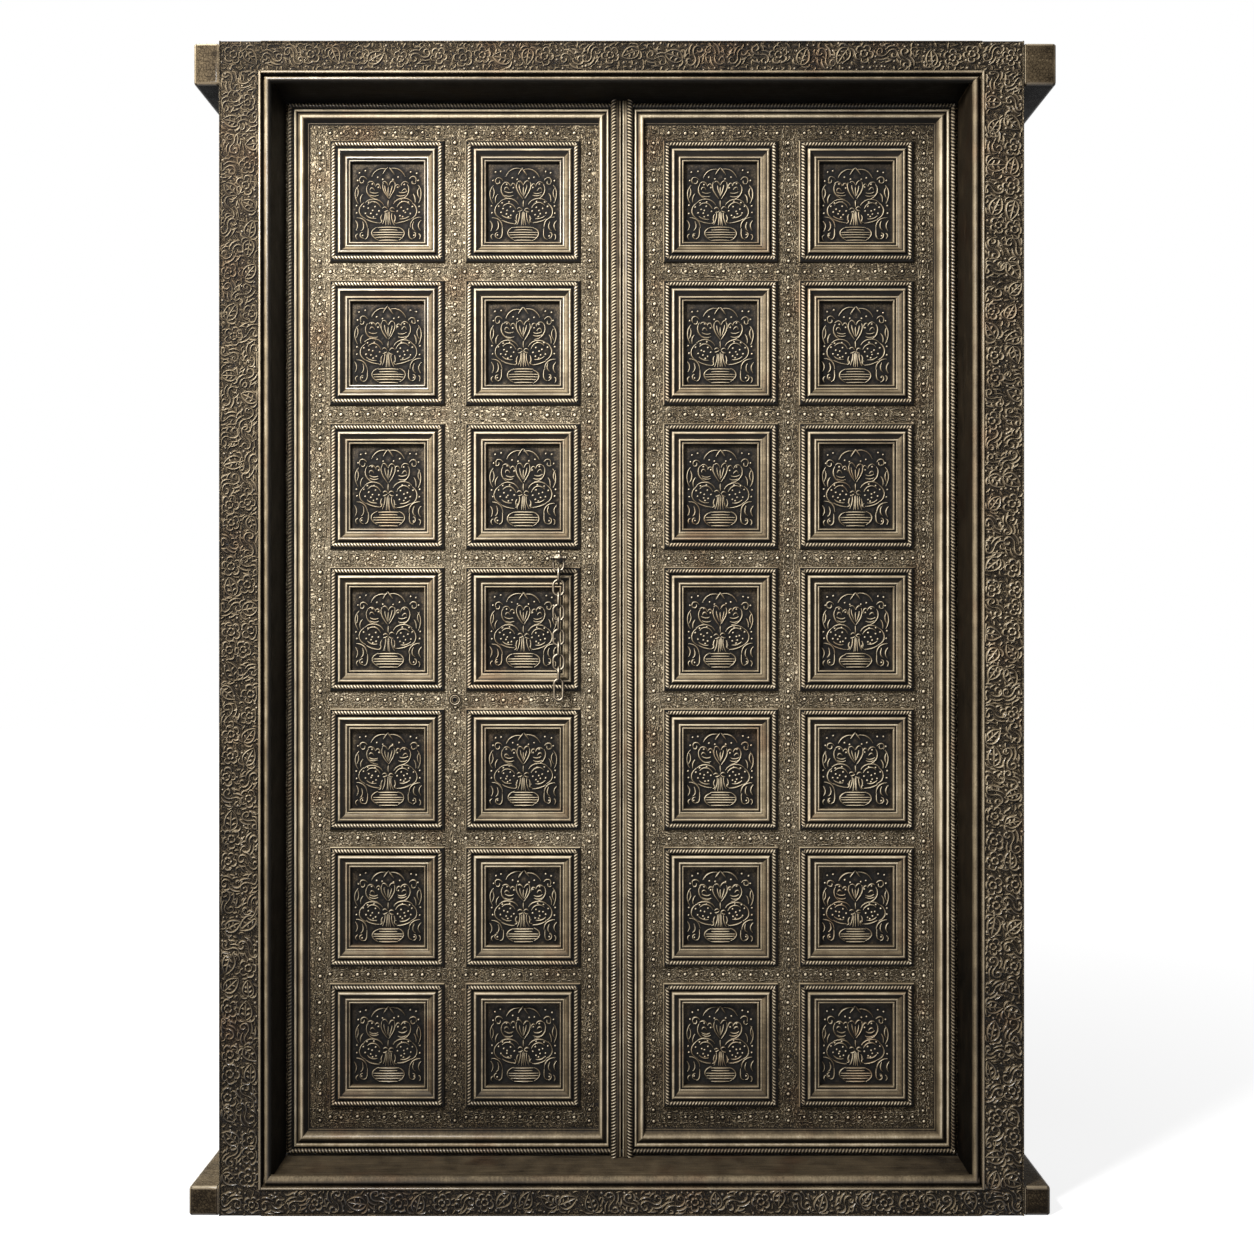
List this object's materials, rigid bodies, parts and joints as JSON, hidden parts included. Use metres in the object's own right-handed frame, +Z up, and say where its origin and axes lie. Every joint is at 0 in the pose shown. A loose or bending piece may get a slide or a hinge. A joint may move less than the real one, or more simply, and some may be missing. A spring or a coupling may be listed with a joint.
{
  "type": "carved double-leaf door in its frame",
  "caption": "Carved two-leaf wooden door with coffered panels, in a deep moulded frame whose lintel and sill run on as plain horns; a forged chain hangs on one leaf.",
  "frame": {"origin": "bottom centre of the whole, on the floor, midway across the width and the depth", "axes": "+X to the viewer's right, +Y to the rear, through the wall, +Z up"},
  "size_m": [1.77, 0.262, 2.4],
  "materials": {
    "frame_timber": "weathered dark brown timber with worn edges",
    "carved_wood": "carved dark brown wood, hollows near black, raised parts rubbed to tan",
    "moulding_wood": "moulded dark brown wood with a waxed sheen, arrises rubbed to tan",
    "iron": "hand-forged iron, brown with age and rubbed bright in places"
  },
  "bodies": {
    "frame": {"lintel": "frame_timber", "sill": "frame_timber", "left_post": "frame_timber", "right_post": "frame_timber", "sill_tread": "frame_timber", "bead_left": "moulding_wood", "bead_right": "moulding_wood", "bead_head_left": "moulding_wood", "bead_head_right": "moulding_wood", "facing_left": "carved_wood", "facing_right": "carved_wood", "facing_head": "carved_wood", "facing_sill": "carved_wood"},
    "left_leaf": {"left_pivot_stile": "moulding_wood", "left_meeting_stile": "moulding_wood", "left_muntin": "moulding_wood", "left_rail_1": "moulding_wood", "left_rail_2": "moulding_wood", "left_rail_3": "moulding_wood", "left_rail_4": "moulding_wood", "left_rail_5": "moulding_wood", "left_rail_6": "moulding_wood", "left_rail_7": "moulding_wood", "left_rail_8": "moulding_wood", "left_panel_board": "carved_wood", "left_border_hinge": "moulding_wood", "left_border_meeting": "moulding_wood", "left_border_top": "moulding_wood", "left_border_bottom": "moulding_wood", "left_astragal": "moulding_wood", "chain_staple": "iron", "lock_eyelet": "iron"},
    "right_leaf": {"right_pivot_stile": "moulding_wood", "right_meeting_stile": "moulding_wood", "right_muntin": "moulding_wood", "right_rail_1": "moulding_wood", "right_rail_2": "moulding_wood", "right_rail_3": "moulding_wood", "right_rail_4": "moulding_wood", "right_rail_5": "moulding_wood", "right_rail_6": "moulding_wood", "right_rail_7": "moulding_wood", "right_rail_8": "moulding_wood", "right_panel_board": "carved_wood", "right_border_hinge": "moulding_wood", "right_border_meeting": "moulding_wood", "right_border_top": "moulding_wood", "right_border_bottom": "moulding_wood", "right_astragal": "moulding_wood"},
    "chain_link_1": {"chain_link_1": "iron"},
    "chain_link_2": {"chain_link_2": "iron"},
    "chain_link_3": {"chain_link_3": "iron"},
    "chain_link_4": {"chain_link_4": "iron"},
    "chain_link_5": {"chain_link_5": "iron"},
    "chain_link_6": {"chain_link_6": "iron"},
    "chain_link_7": {"chain_link_7": "iron"},
    "chain_link_8": {"chain_link_8": "iron"},
    "chain_link_9": {"chain_link_9": "iron"},
    "chain_link_10": {"chain_link_10": "iron"},
    "chain_link_11": {"chain_link_11": "iron"}
  },
  "joints": [
    {"name": "left_leaf_turn", "type": "hinge", "parent": "frame", "child": "left_leaf", "pos_m": [-0.755, 0.0462, 0.074], "axis": [0, 0, 1], "range_deg": [0, 100]},
    {"name": "right_leaf_turn", "type": "hinge", "parent": "frame", "child": "right_leaf", "pos_m": [0.755, 0.0462, 0.074], "axis": [0, 0, -1], "range_deg": [0, 100]},
    {"name": "chain_link_1_swing", "type": "hinge", "parent": "left_leaf", "child": "chain_link_1", "pos_m": [-0.134, -0.0143, 1.35476], "axis": [-1, 0, 0], "range_deg": [0, 15]},
    {"name": "chain_link_2_swing", "type": "hinge", "parent": "chain_link_1", "child": "chain_link_2", "pos_m": [-0.134, -0.0143, 1.32216], "axis": [-1, 0, 0], "range_deg": [0, 18]},
    {"name": "chain_link_3_swing", "type": "hinge", "parent": "chain_link_2", "child": "chain_link_3", "pos_m": [-0.134, -0.0143, 1.30216], "axis": [-1, 0, 0], "range_deg": [0, 18]},
    {"name": "chain_link_4_swing", "type": "hinge", "parent": "chain_link_3", "child": "chain_link_4", "pos_m": [-0.134, -0.0143, 1.26956], "axis": [-1, 0, 0], "range_deg": [0, 18]},
    {"name": "chain_link_5_swing", "type": "hinge", "parent": "chain_link_4", "child": "chain_link_5", "pos_m": [-0.134, -0.0143, 1.24956], "axis": [-1, 0, 0], "range_deg": [0, 18]},
    {"name": "chain_link_6_swing", "type": "hinge", "parent": "chain_link_5", "child": "chain_link_6", "pos_m": [-0.134, -0.0143, 1.21696], "axis": [-1, 0, 0], "range_deg": [0, 18]},
    {"name": "chain_link_7_swing", "type": "hinge", "parent": "chain_link_6", "child": "chain_link_7", "pos_m": [-0.134, -0.0143, 1.19696], "axis": [-1, 0, 0], "range_deg": [0, 18]},
    {"name": "chain_link_8_swing", "type": "hinge", "parent": "chain_link_7", "child": "chain_link_8", "pos_m": [-0.134, -0.0143, 1.16436], "axis": [-1, 0, 0], "range_deg": [0, 18]},
    {"name": "chain_link_9_swing", "type": "hinge", "parent": "chain_link_8", "child": "chain_link_9", "pos_m": [-0.134, -0.0143, 1.14436], "axis": [-1, 0, 0], "range_deg": [0, 18]},
    {"name": "chain_link_10_swing", "type": "hinge", "parent": "chain_link_9", "child": "chain_link_10", "pos_m": [-0.134, -0.0143, 1.11176], "axis": [-1, 0, 0], "range_deg": [0, 18]},
    {"name": "chain_link_11_swing", "type": "hinge", "parent": "chain_link_10", "child": "chain_link_11", "pos_m": [-0.134, -0.0143, 1.09176], "axis": [-1, 0, 0], "range_deg": [0, 18]}
  ]
}
